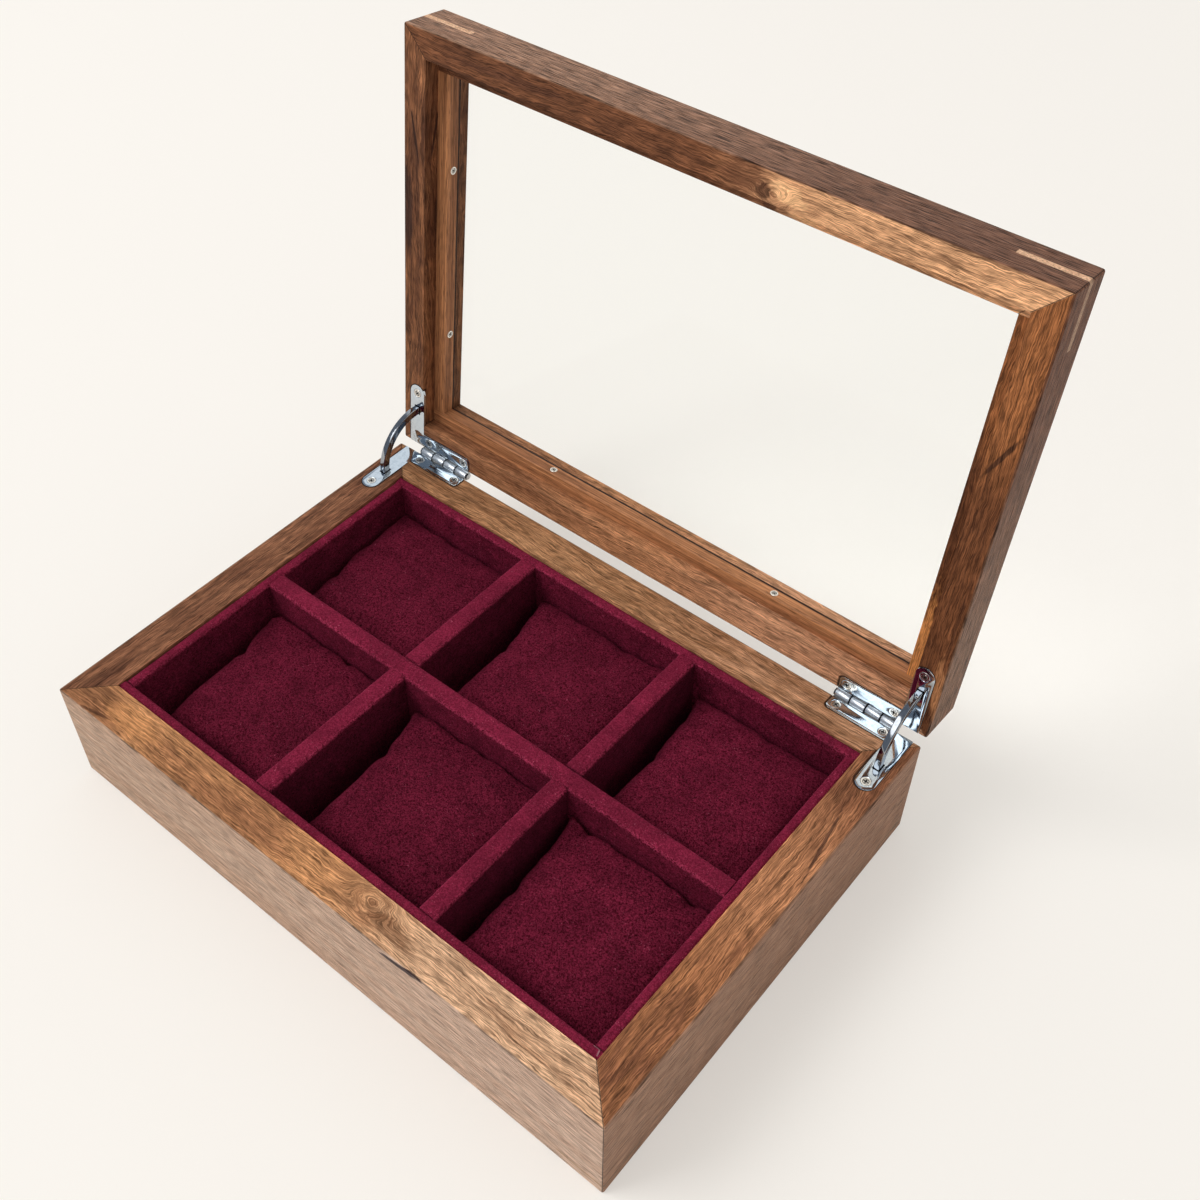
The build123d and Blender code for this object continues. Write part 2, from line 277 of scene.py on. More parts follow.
Plank = namedtuple("Plank", "corner grain inward deep length lip", defaults=(None,))
# A plank's side and far_side tones colour its outer side, near and far along the grain. They are partly the wood's
# own colour and partly painted light: greyer for sheen on a front side, darker for shade on a side turned from the
# lamp.
Tones = namedtuple("Tones", "gold pale brown dark side far_side")
Figure = namedtuple("Figure", "wander stops knot marks", defaults=(None, ()))
Knot = namedtuple("Knot", "along across size")
Mark = namedtuple("Mark", "along wrap long wide lean colour share")
Inlet = namedtuple("Inlet", "along across half_long half_wide round")

# How deep the lip of a lid's member starts, and where across a plank the painted shade on a lid's lip and the
# painted highlight on a wall's inner edge start and are full.

lip_start = 18.0
lip_shade_edge = (11.4, 12.2)
wall_highlight_edge = (16.5, 17.1)
knot_heart = (0.13, 0.045, 0.02)
seam_dark = (0.022, 0.011, 0.008)


def base_planks():
    """The four walls: where each one's show face meets its outer side, and how its grain runs."""
    left, right, front, back = low_corner.x, high_corner.x, low_corner.y, high_corner.y
    return {
        "base_front_wall": Plank(Vector((left, front, rim)), to_right, to_back, -upward, box_length),
        "base_back_wall": Plank(Vector((left, back, rim)), to_right, -to_back, -upward, box_length),
        "base_left_wall": Plank(Vector((left, back, rim)), -to_back, to_right, -upward, box_depth),
        "base_right_wall": Plank(Vector((right, back, rim)), -to_back, -to_right, -upward, box_depth),
    }


def lid_planks():
    """The lid's four members, in the open lid's own directions."""
    half = box_length / 2 * to_right
    top = lid_foot + box_depth * lid_up
    return {
        "lid_front_rail": Plank(top - half, to_right, -lid_up, lid_back, box_length, lip_start),
        "lid_back_rail": Plank(lid_foot - half, to_right, lid_up, lid_back, box_length, lip_start),
        "lid_left_stile": Plank(lid_foot - half, lid_up, to_right, lid_back, box_depth, lip_start),
        "lid_right_stile": Plank(lid_foot + half, lid_up, -to_right, lid_back, box_depth, lip_start),
    }


# Where the hinges' legs are let into the wood.

side_leg = Inlet(17.0, 8.5, 17.0, 4.5, 4.5)
back_leg = Inlet(23.5, 3.5, 19.5, 3.5, 1.8)
back_legs = (back_leg, back_leg._replace(along=box_length / MM - back_leg.along))
INLETS = {
    "base_left_wall": (side_leg,),
    "base_right_wall": (side_leg,),
    "base_back_wall": back_legs,
    "lid_left_stile": (side_leg,),
    "lid_right_stile": (side_leg,),
    "lid_back_rail": back_legs,
}


class Grain(Finish):
    """Oiled walnut on one plank, with the plank's own millimetres as signals. Side is 1 on the outer
    side, where the figure is less lively."""

    def __init__(self, name, plank, seed):
        super().__init__(name, specular_ior_level=0.06)
        point = self.place()
        corner = plank.corner / MM
        self.lip = plank.lip
        self.length = plank.length / MM
        self.along = self.away(point, corner, plank.grain)
        self.across = self.away(point, corner, plank.inward)
        self.deep = self.away(point, corner, plank.deep)
        self.further = self.along + seed * 173.0
        self.side = 1 - self.across.rise(0.2, 0.65)
        self.lively = 1 - self.side * 0.9

    def lumps(self, long, wide, detail=2.0, twist=0.0, more=0.0):
        """Soft lumps, long by wide millimetres. More sets one use of them apart from another."""
        vector = self.joined(self.further / long + more, self.across / wide, self.deep / wide)
        return self.cloud(vector, detail, 0.55, twist)

    def drawn(self, long, wide, detail, more):
        """Streaks drawn out along the grain, long by wide millimetres."""
        return self.cloud(self.joined(self.further / long + more, self.flow / wide, more), detail, 0.55)

    def bend(self, wander, knot):
        """Send the lines of the grain wandering over the plank, and round its knot."""
        meander = (self.lumps(74, 26) - 0.5) * (2 * wander)
        crinkle = (self.lumps(6, 3.0, more=5.0) - 0.5) * 1.7
        self.flow = self.across + self.deep * 0.85 + (meander + crinkle) * self.lively
        if knot:
            reach = (((self.along - knot.along) / 1.7) ** 2 + (self.across - knot.across) ** 2).root()
            self.reach = reach + (self.lumps(6, 4, more=17.0) - 0.5) * 4
            near = (1 - self.reach.rise(knot.size * 0.3, knot.size * 1.6)) * self.lively
            self.flow = self.flow * (1 - near) + self.reach * near

    def banded(self, tones, light, stops):
        """Light and brown bands, which follow the stops along the plank, with dark lines in them."""
        station = self.ramp(self.along / self.length, stops)
        band = self.drawn(140, 4.2, 3.0, 1.0)
        patch = self.lumps(24, 9, 3.0, 0.6, 9.0)
        tone = (band * 0.5 + patch * 0.5 + (station - 0.5) * 0.42).rise(0.33, 0.67)
        late = self.drawn(90, 2.0, 1.0, 3.0).rise(0.53, 0.7)
        vein = self.drawn(30, 0.8, 2.0, 19.0).rise(0.57, 0.62)
        ring = 1 - (self.drawn(120, 5.5, 2.0, 23.0) - 0.5).size().rise(0.008, 0.04)
        shown = 1 - self.side * (0.55 if self.lip else 0.65)
        colour = self.mix(tones.brown, light, tone)
        return self.mix(colour, tones.dark, (late * 0.28 + vein * 0.16 + ring * 0.34) * shown)

    def painted_side(self, colour, tones):
        """The outer side, in faint bands: the wood's own tone, painted greyer for sheen and darker for shade."""
        bands = self.cloud(self.joined(self.further / 260, self.deep / 6.5, 2.0), 2.0).rise(0.35, 0.65)
        outer = self.mix(tones.side, tones.far_side, (self.along / self.length).rise(0.15, 0.9))
        outer = self.mix(outer, tones.brown, 0.24 - bands * 0.22)
        return self.mix(colour, outer, self.side)

    def knotted(self, colour, light, knot):
        """A dark heart with a light ring round it."""
        eye = 1 - self.reach.rise(knot.size * 0.1, knot.size * 0.3)
        halo = (1 - (self.reach - knot.size * 0.4).size().rise(0.2, 1.3)) * self.lively
        return self.mix(self.mix(colour, light, halo * 0.3), knot_heart, eye * 0.4)

    def marked(self, colour, mark):
        """A ragged mark, which may wrap round the edge on to the outer side."""
        run = self.along - mark.along
        over = (self.across - self.deep) - mark.wrap + run * mark.lean
        stain = ((run / mark.long) ** 2 + (over / mark.wide) ** 2).root()
        ragged = 1 - (stain + (self.lumps(5, 1.4, more=21.0) - 0.5) * 1.1).rise(0.6, 1.05)
        return self.mix(colour, mark.colour, ragged * mark.share)

    def inlet_line(self, inlet):
        """The dark line round a hinge's leg, a rounded rectangle."""
        beyond = (self.along - inlet.along).size() - (inlet.half_long - inlet.round)
        beside = (self.across - inlet.across).size() - (inlet.half_wide - inlet.round)
        gap = (beyond.most(0) ** 2 + beside.most(0) ** 2).root() - inlet.round
        return (1 - gap.rise(0.45, 0.85)) * (1 - self.side) * (1 - self.deep.rise(1.8, 2.6))

    def seams(self, arris, rubbed_and_lit, inlets):
        """Dark lines: both mitres, the outer edge, fainter where it has a painted highlight, and the hinges' legs.
        """
        mitre = (self.along - self.across).size().least((self.length - self.along - self.across).size())
        seam = (1 - mitre.rise(0.08, 0.4)).most(arris * (0.6 - rubbed_and_lit * 0.3))
        for inlet in inlets:
            seam = seam.most(self.inlet_line(inlet))
        return seam

    def inner_shade_and_highlight(self):
        """Painted shade darkens the lid's lip, and a painted highlight lightens a wall's inner edge."""
        if self.lip:
            return 1 - self.across.rise(*lip_shade_edge) * self.deep.rise(self.lip - 0.6, self.lip) * 0.15
        return 1 + self.across.rise(*wall_highlight_edge) * self.lively * 0.22


def walnut(name, plank, seed, tones, figure, inlets):
    """Bands, outer side with painted light, pores, knot and marks, with fine lines, ripple, a painted highlight on
    the outer edge in patches, painted light on inner edges, and seams over them.
    """
    finish = Grain(name, plank, seed)
    finish.bend(figure.wander, figure.knot)
    side, lively, across, deep = finish.side, finish.lively, finish.across, finish.deep

    line = finish.drawn(26, 0.6, 3.0, 5.0).rise(0.38, 0.62)
    hair = finish.drawn(9, 0.36, 2.0, 15.0).rise(0.41, 0.59)
    crowd = finish.drawn(38, 3.4, 1.0, 7.0).rise(0.4, 0.62)
    pore = finish.drawn(6, 0.3, 0.0, 11.0).rise(0.54, 0.63) * (0.6 + crowd * 0.4)
    ripple = finish.cloud(finish.joined((finish.further + across * 0.9) / 3.8, across / 9, deep / 9), 2.0)

    light = finish.mix(tones.gold, tones.pale, (finish.along / finish.length).rise(0.5, 0.72))
    colour = finish.painted_side(finish.banded(tones, light, figure.stops), tones)
    colour = finish.mix(colour, tones.dark, pore * (0.52 - side * (0.1 if plank.lip else 0.32)))
    if figure.knot:
        colour = finish.knotted(colour, light, figure.knot)
    for mark in figure.marks:
        colour = finish.marked(colour, mark)

    arris = (across - deep).size().most(across.most(deep) * 1.2).rise(0.75, 0.3)
    # Patches where the outer edge gets a painted highlight, and its dark line is fainter.
    rubbed_and_lit = finish.lumps(34, 40, more=31.0).rise(0.42, 0.56)
    seam = finish.seams(arris, rubbed_and_lit, inlets)
    contrast = 1 + side * (0.7 if plank.lip else 0.15)
    level = 1.12 + ((line - 0.5) * 0.38 + (hair - 0.5) * 0.7) * contrast
    # Painted highlight: the outer edge is lightened in patches.
    level = level + (ripple.rise(0.33, 0.67) - 0.5) * lively * 0.2 + arris ** 3 * rubbed_and_lit * 0.35
    colour = finish.scaled(colour, level * finish.inner_shade_and_highlight())
    return finish.show(
        base_color=finish.mix(colour, seam_dark, seam * 0.85),
        roughness=0.47 + pore * 0.14 - line * 0.06,
        normal=finish.bump(line * 0.5 + hair * 0.4 - pore * 0.7 - seam, 0.05 * MM),
    )


FRONT_TONES = Tones(
    gold=(0.57, 0.275, 0.122), pale=(0.67, 0.415, 0.255), brown=(0.33, 0.148, 0.07),
    dark=(0.1, 0.04, 0.02), side=(0.43, 0.3, 0.22), far_side=(0.5, 0.36, 0.28),
)
BACK_TONES = Tones(
    gold=(0.46, 0.24, 0.12), pale=(0.56, 0.3, 0.17), brown=(0.24, 0.11, 0.05),
    dark=(0.07, 0.032, 0.018), side=(0.36, 0.24, 0.16), far_side=(0.34, 0.22, 0.15),
)
LEFT_TONES = Tones(
    gold=(0.297, 0.133, 0.071), pale=(0.297, 0.133, 0.071), brown=(0.138, 0.055, 0.03),
    dark=(0.04, 0.018, 0.012), side=(0.32, 0.2, 0.135), far_side=(0.32, 0.2, 0.135),
)
RIGHT_TONES = Tones(
    gold=(0.465, 0.208, 0.1), pale=(0.495, 0.208, 0.088), brown=(0.23, 0.093, 0.047),
    dark=(0.065, 0.026, 0.015), side=(0.29, 0.165, 0.108), far_side=(0.31, 0.185, 0.125),
)
TOP_TONES = Tones(
    gold=(0.25, 0.1, 0.046), pale=(0.77, 0.42, 0.222), brown=(0.14, 0.055, 0.027),
    dark=(0.045, 0.018, 0.011), side=(0.29, 0.165, 0.108), far_side=(0.16, 0.08, 0.052),
)
FOOT_TONES = Tones(
    gold=(0.46, 0.215, 0.105), pale=(0.56, 0.285, 0.16), brown=(0.22, 0.092, 0.045),
    dark=(0.06, 0.026, 0.015), side=(0.25, 0.15, 0.1), far_side=(0.22, 0.13, 0.09),
)
STILE_TONES = Tones(
    gold=(0.29, 0.12, 0.052), pale=(0.31, 0.13, 0.06), brown=(0.095, 0.036, 0.018),
    dark=(0.028, 0.012, 0.009), side=(0.2, 0.12, 0.08), far_side=(0.16, 0.09, 0.06),
)
WARM_TONES = Tones(
    gold=(0.24, 0.092, 0.04), pale=(0.33, 0.125, 0.046), brown=(0.13, 0.048, 0.021),
    dark=(0.035, 0.014, 0.009), side=(0.2, 0.11, 0.07), far_side=(0.138, 0.058, 0.033),
)
bark = (0.03, 0.018, 0.024)
burr = (0.15, 0.066, 0.032)
stile_stops = ((0, 0.35), (0.3, 0.3), (0.55, 0.45), (0.72, 0.8), (1, 0.9))
WALNUT = {
    "base_front_wall": (FRONT_TONES, Figure(
        4.5,
        (
            (0, 0.25), (0.08, 0.3), (0.14, 0.95), (0.27, 0.35), (0.4, 0.2),
            (0.5, 0.85), (0.6, 0.45), (0.7, 0.9), (1, 0.75),
        ),
        Knot(177.5, 12.0, 6.5),
        (
            Mark(188, 8.5, 16, 3.6, 0.12, burr, 0.6),
            Mark(166, 5.5, 9, 2.2, -0.1, burr, 0.45),
            Mark(203, -1.6, 13, 1.9, -0.13, bark, 0.93),
            Mark(78, 2.0, 30, 1.6, 0.02, burr, 0.45),
            Mark(38, 8.5, 20, 6.5, 0.0, (0.56, 0.255, 0.1), 0.45),
            Mark(15, 9.5, 11, 5.0, -0.1, burr, 0.55),
            Mark(21, 2.0, 10, 1.0, -0.2, (0.06, 0.024, 0.014), 0.7),
        ),
    )),
    "base_back_wall": (BACK_TONES, Figure(5.5, ((0, 0.35), (0.4, 0.7), (0.7, 0.4), (1, 0.6)))),
    "base_left_wall": (LEFT_TONES, Figure(3.5, ((0, 0.35), (0.5, 0.6), (0.85, 0.5), (1, 0.4)))),
    "base_right_wall": (RIGHT_TONES, Figure(
        4.0,
        ((0, 0.4), (0.2, 0.35), (0.34, 0.8), (0.5, 0.85), (0.62, 0.45), (0.85, 0.3), (1, 0.4)),
        marks=(Mark(66, 5, 20, 0.9, 0.16, (0.07, 0.03, 0.02), 0.8),),
    )),
    "lid_front_rail": (TOP_TONES, Figure(
        4.5,
        ((0, 0.45), (0.1, 0.25), (0.35, 0.3), (0.52, 0.55), (0.62, 0.9), (0.8, 0.75), (1, 0.85)),
        Knot(184.4, 8.5, 4.5),
        (
            Mark(60, 6, 38, 2.2, 0.03, (0.08, 0.032, 0.019), 0.6),
            Mark(171, 5.5, 11, 7, 0.1, (0.13, 0.05, 0.026), 0.65),
            Mark(180, 8.5, 4, 3.5, 0.0, (0.07, 0.028, 0.016), 0.8),
            Mark(191, 6.5, 9, 4.5, -0.2, (0.85, 0.5, 0.26), 0.7),
        ),
    )),
    "lid_back_rail": (FOOT_TONES, Figure(
        5.0, ((0, 0.3), (0.25, 0.45), (0.4, 0.8), (0.55, 0.95), (0.75, 0.85), (1, 0.8))
    )),
    "lid_left_stile": (STILE_TONES, Figure(
        8.0,
        ((0, 0.55), (0.4, 0.6), (0.6, 0.3), (1, 0.6)),
        marks=(
            Mark(126, 2, 24, 3.4, 0.04, (0.035, 0.016, 0.012), 0.75),
            Mark(161, 6, 13, 0.8, 0.2, (0.025, 0.012, 0.01), 0.85),
        ),
    )),
    "lid_right_stile": (WARM_TONES, Figure(
        3.5,
        stile_stops,
        marks=(
            Mark(140, 6, 13, 1.2, 0.45, (0.04, 0.018, 0.012), 0.8),
            Mark(26, 1.6, 20, 2.4, -0.12, (0.36, 0.16, 0.07), 0.75),
        ),
    )),
    "glass_strip_right": (WARM_TONES, Figure(
        # The gold mark on the strip's face is painted light, for the light that the face catches near the foot.
        3.5, stile_stops, marks=(Mark(18, 9.5, 50, 5.5, 0.0, (0.56, 0.23, 0.075), 0.9),)
    )),
}
seed_step = 3.1


def finish_wood():
    """Walnut on the walls, rails, stiles and right strip, which lies along the right stile's plank."""
    planks = {**base_planks(), **lid_planks()}
    planks["glass_strip_right"] = planks["lid_right_stile"]
    for order, (node, plank) in enumerate(planks.items()):
        tones, figure = WALNUT[node]
        seed = order * seed_step
        paint(node, walnut(f"walnut {node}", plank, seed, tones, figure, INLETS.get(node, ())))


def lath(name, grain, across, seed, tones, seat=None):
    """Plain straight-grained wood for the strips, keys and panel, with a dark line along a seat, and painted shade
    on the ends at the box's outer sides.
    """
    light, dark, pores = tones
    finish = Finish(name, specular_ior_level=0.14)
    point = finish.place()
    along = finish.away(point, Vector((seed * 61.0, 0, 0)), grain)
    over = finish.away(point, origin, across)
    through = finish.away(point, origin, grain.cross(across))

    def drawn(long, wide, detail):
        """Streaks along the grain, long by wide millimetres."""
        return finish.cloud(finish.joined(along / long + seed, over / wide, through / wide), detail)

    band = drawn(160, 3.2, 2.0).rise(0.35, 0.65)
    line = drawn(40, 0.8, 3.0).rise(0.33, 0.67)
    pore = drawn(5.0, 0.33, 0.0).rise(0.56, 0.7)
    colour = finish.mix(dark, light, band * 0.7 + line * 0.3)
    colour = finish.mix(colour, pores, pore * 0.5)
    colour = finish.scaled(colour, 0.74 + line * 0.4)
    if seat:
        near = finish.away(point, seat / MM, lid_back)
        colour = finish.mix(colour, seam_dark, near.rise(-1.3, -0.9) * (1 - near.rise(-0.08, -0.03)))
    # Painted shade: the ends at the box's outer sides are darkened to half.
    outside = high_corner.x / MM
    end = finish.away(point, origin, to_right).size().rise(outside - 0.5, outside - 0.2)
    return finish.show(
        base_color=finish.scaled(colour, 1 - end * 0.5),
        roughness=0.46 + pore * 0.12,
        normal=finish.bump(line * 0.6 - pore, 0.04 * MM),
    )


STRIP = ((0.55, 0.245, 0.108), (0.28, 0.112, 0.05), (0.09, 0.038, 0.022))
MAPLE = ((0.86, 0.54, 0.34), (0.7, 0.4, 0.24), (0.36, 0.19, 0.11))
DULL_MAPLE = ((0.46, 0.3, 0.19), (0.38, 0.235, 0.145), (0.25, 0.14, 0.08))
VENEER = ((0.42, 0.26, 0.16), (0.33, 0.19, 0.11), (0.15, 0.08, 0.045))
pane_depth = 15.0 * MM


def finish_small_wood():
    """The strips round the pane, the corner keys and the bottom panel."""
    seat = lid_foot + pane_depth * lid_back
    paint("glass_strip_back", lath("walnut strip back", to_right, lid_up, 2, STRIP, seat))
    paint("glass_strip_left", lath("walnut strip left", lid_up, to_right, 3, STRIP, seat))
    paint("glass_strip_front", frame["nodes"]["lid_front_rail"].material_slots[0].material)
    slant = (to_right - lid_up).normalized()
    paint("lid_corner_keys", lath("maple lid keys", slant, lid_back, 6, MAPLE))
    slant = (to_right + to_back).normalized()
    paint("base_corner_keys", lath("base keys", slant, upward, 7, DULL_MAPLE))
    paint("base_bottom_panel", lath("panel veneer", to_right, to_back, 8, VENEER))


finish_wood()
finish_small_wood()


# Velvet. The walls of a board get painted light and shade by the way they face: those that face the front
# are the palest. Other boards have a plain level, and the ledge along every board's top is painted lighter.

Thread = namedtuple("Thread", "middle direction half_long")
WALL_LIGHT = {
    "tray_liner_back": 1.3,
    "tray_long_divider": 1.3,
    "tray_liner_left": 1.05,
    "tray_short_divider_left": 0.75,
    "tray_short_divider_right": 0.75,
}
plain_wall_light = 0.86
ledge_light = 1.86
velvet_shadow, velvet_light = (0.024, 0.001, 0.004), (0.25, 0.02, 0.055)
lint_colour, worn_and_lit_colour, thread_colour = (0.4, 0.09, 0.15), (0.28, 0.03, 0.07), (0.5, 0.26, 0.3)


def velvet(name, seed, lightness=1.0, top=None, wall=plain_wall_light, threads=()):
    """Burgundy velvet: curled short fibres, brushed patches and lint, painted light on walls and top ledge, and
    nap worn paler along a top edge, partly a painted highlight.
    """
    finish = Finish(
        name, roughness=0.95, specular_ior_level=0.04,
        sheen_weight=0.1, sheen_roughness=0.4, sheen_tint=(0.95, 0.12, 0.3),
    )
    place = finish.place()
    point = finish.moved(place, (seed * 17.0, 0, 0))

    def fuzz(wide, detail, rough, twist):
        """Curled noise with lumps this many millimetres wide."""
        return finish.cloud(finish.scaled(point, 1 / wide), detail, rough, twist)

    hair = 1 - (fuzz(1.3, 1.0, 0.6, 1.8) - 0.5).size().rise(0.0, 0.06)
    fibre = fuzz(0.75, 2.0, 0.65, 1.0).rise(0.4, 0.6)
    tuft = fuzz(2.2, 2.0, 0.5, 1.6).rise(0.35, 0.65)
    brushed = fuzz(16, 3.0, 0.5, 1.0).rise(0.3, 0.7)
    lint = fuzz(1.2, 0.0, 0.5, 3.0).rise(0.77, 0.82)
    nap = fibre * 0.55 + hair * 0.35 + tuft * 0.12
    level = (0.78 + brushed * 0.36) * lightness
    if top is not None:
        crest = top / MM
        height = finish.node("ShaderNodeSeparateXYZ", {}, {0: place}, 2)
        nap = nap + height.rise(crest - 0.8, crest - 0.2) * (0.5 - nap) * 0.45
    colour = finish.mix(velvet_shadow, velvet_light, nap)
    colour = finish.mix(colour, lint_colour, lint * 0.6)
    if top is not None:
        # Painted light: a wall is lighter or darker by the way it faces, and the ledge along the top is painted
        # lighter.
        streak = fuzz(7, 3.0, 0.6, 2.0).rise(0.35, 0.7)
        ledge = height.rise(crest - 2.6, crest - 0.5)
        level = level * (wall * (0.84 + streak * 0.36) * (1 - ledge) + ledge * ledge_light)
        # A paler line along the top edge: worn nap, and partly a painted highlight.
        worn_and_lit = (height - (crest - 1.1)).size().rise(0.9, 0.3)
        colour = finish.mix(colour, worn_and_lit_colour, worn_and_lit * (fibre * 0.6 + 0.05))
    colour = finish.scaled(colour, level)
    for thread in threads:
        aside = finish.away(place, thread.middle / MM, thread.direction).size()
        beside = finish.away(place, thread.middle / MM, thread.direction.cross(upward)).size()
        laid = (1 - aside.rise(thread.half_long - 0.3, thread.half_long)) * (1 - beside.rise(0.15, 0.35))
        colour = finish.mix(colour, thread_colour, laid * 0.8)
    return finish.show(
        base_color=colour,
        normal=finish.bump(fibre * 0.6 + tuft * 0.6 + hair * 0.4, 0.28 * MM),
    )


def line_tray():
    """Velvet on the tray's boards, with two loose threads where the front and right liners meet."""
    corner = Vector((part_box("tray_liner_right")[0].x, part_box("tray_liner_front")[1].y, rim))
    loose = (
        Thread(corner + Vector((1.2, -0.45, 0)) * MM, to_right, 1.5),
        Thread(corner + Vector((3.0, -1.9, 0)) * MM, (0.3 * to_right - to_back).normalized(), 1.4),
    )
    boards = [node for node in frame["nodes"] if node.startswith("tray_")]
    for seed, node in enumerate(sorted(boards)):
        top = None if node == "tray_floor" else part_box(node)[1].z
        threads = loose if node in ("tray_liner_front", "tray_liner_right") else ()
        wall = WALL_LIGHT.get(node, plain_wall_light)
        paint(node, velvet(f"velvet {node}", seed, top=top, wall=wall, threads=threads))


line_tray()


# Cushions: two square sheets joined at the edge, filled, and pressed into their compartments.

case_threads = 44
case_width = 2.0
filling_frames = 10
FILLING = {
    "quality": 6,
    "mass": 0.3,
    "tension_stiffness": 15,
    "compression_stiffness": 15,
    "shear_stiffness": 5,
    "bending_stiffness": 0.5,
    "air_damping": 2,
    "use_pressure": True,
    "uniform_pressure_force": 1.0,
}


def sew_case(name, seed):
    """Two sheets sharing their edge, a little slack and uneven, in units that cloth handles well."""
    sheets = bmesh.new()
    found = {}
    count = case_threads
    for side in (1, -1):
        for i in range(count + 1):
            for j in range(count + 1):
                hem = i in (0, count) or j in (0, count)
                if side < 0 and hem:
                    found[side, i, j] = found[1, i, j]
                    continue
                x, y = (i / count - 0.5) * case_width, (j / count - 0.5) * case_width
                puff = max(math.sin(math.pi * i / count) * math.sin(math.pi * j / count), 0) ** 0.5
                uneven = 0 if hem else 0.03 * noise.noise(Vector((x * 2.6, y * 2.6, seed * 9.1 + side)))
                wavy = 0.012 * noise.noise(Vector((x * 7, y * 7, seed * 5.3))) if hem else 0
                found[side, i, j] = sheets.verts.new((x, y, side * 0.12 * puff + uneven + wavy))
        for i in range(count):
            for j in range(count):
                corners = [found[side, i + a, j + b] for a, b in ((0, 0), (1, 0), (1, 1), (0, 1))]
                sheets.faces.new(corners[::side])
    mesh = bpy.data.meshes.new(name)
    sheets.to_mesh(mesh)
    sheets.free()
    return placed(name, mesh)


def fill_case(case):
    """Let cloth simulation blow the case up for a few frames."""
    cloth = case.modifiers.new("filling", "CLOTH")
    for setting, value in FILLING.items():
        setattr(cloth.settings, setting, value)
    cloth.settings.effector_weights.gravity = 0
    cloth.collision_settings.use_collision = False
    cloth.point_cache.frame_start = 1
    cloth.point_cache.frame_end = filling_frames
    for number in range(1, filling_frames + 1):
        bpy.context.scene.frame_set(number)
    filled = taken(case)
    bpy.context.scene.frame_set(1)
    case.modifiers.clear()
    case.data = filled


# How each cushion lies, in millimetres. Gaps are to the walls at its corners, slant is how much the left
# gap closes towards the back, and draws are how far a side is drawn in between its corners. Rises and
# peaks lift its seam above seam_height, along its sides and in its corners. A tuck's place goes from
# -1 to 1 along its side, its reach is a share of the cushion's half, and its depth is how far it sinks.

Edges = namedtuple("Edges", "left right front back")
Corners = namedtuple("Corners", "front_left front_right back_left back_right")
Tuck = namedtuple("Tuck", "side place reach depth", defaults=(0.16, 1.8))
# A cushion's lightness scales its velvet: the right-hand cushions are painted lighter, as painted light.
Cushion = namedtuple("Cushion", "gaps slant draws rises peaks tucks lightness", defaults=(1.14,))

seam_height = 28 * MM
waist_band = 0.08
corner_pull = 2.6
fullness = 0.6
belly = 1.12
lump_height = 0.4 * MM
tuck_width = 0.075
tuck_pull = 0.011
INWARD = {"left": (1, 0), "right": (-1, 0), "front": (0, 1), "back": (0, -1)}
CUSHIONS = {
    "cushion_front_left": Cushion(
        Edges(4.6, 1.0, 3.0, 0.6), 2.4, Edges(1.8, 1.0, 2.0, 0.4), Edges(1, 3, 0, 9), Corners(0, 5, 12, 12),
        (Tuck("left", 0.3, 0.16, 2.2), Tuck("back", 0.3, 0.12, 1.2)),
    ),
    "cushion_front_middle": Cushion(
        Edges(7.0, 1.2, 3.0, 0.5), 2.0, Edges(3.6, 1.6, 2.0, 0.4), Edges(0, 3, 0, 10), Corners(1, 5, 10, 12),
        (Tuck("back", -0.28, 0.14, 1.6), Tuck("left", 0.3)),
    ),
    "cushion_front_right": Cushion(
        Edges(2.6, 0.8, 2.6, 0.5), 0.6, Edges(3.0, 1.2, 2.0, 0.6), Edges(3, 4, 0, 8), Corners(2, 6, 13, 12),
        (Tuck("back", -0.72, 0.16, 2.2), Tuck("back", 0.68, 0.16, 2.2), Tuck("left", -0.1, 0.14, 1.4)),
        1.3,
    ),
    "cushion_back_left": Cushion(
        Edges(2.2, 1.0, 3.0, 0.8), 1.4, Edges(0.8, 1.2, 2.0, 0.8), Edges(6, 3, 0, 5), Corners(2, 4, 10, 10),
        (Tuck("left", -0.4, 0.14, 2.0), Tuck("back", -0.1, 0.12, 1.2)),
    ),
    "cushion_back_middle": Cushion(
        Edges(6.0, 2.2, 3.2, 0.8), 2.2, Edges(4.0, 2.2, 2.0, 0.7), Edges(1, 3, 0, 6), Corners(0, 4, 8, 12),
        (Tuck("left", 0.05, 0.14), Tuck("back", 0.35, 0.14, 1.4)),
    ),
    "cushion_back_right": Cushion(
        Edges(3.4, 1.0, 3.0, 0.8), 1.0, Edges(4.6, 1.4, 2.0, 0.7), Edges(1, 3, 0, 4), Corners(0, 4, 6, 9),
        (Tuck("left", -0.1, 0.16, 2.0), Tuck("back", 0.1, 0.12, 1.0)),
        1.27,
    ),
}


def compartment(node):
    """Where the velvet faces round a cushion are."""
    _, row, column = node.split("_")
    walls = {
        "left": (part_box("tray_liner_left")[1].x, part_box("tray_short_divider_left")[0].x),
        "middle": (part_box("tray_short_divider_left")[1].x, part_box("tray_short_divider_right")[0].x),
        "right": (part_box("tray_short_divider_right")[1].x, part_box("tray_liner_right")[0].x),
        "front": (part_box("tray_liner_front")[1].y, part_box("tray_long_divider")[0].y),
        "back": (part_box("tray_long_divider")[1].y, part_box("tray_liner_back")[0].y),
    }
    return Edges(*walls[column], *walls[row])


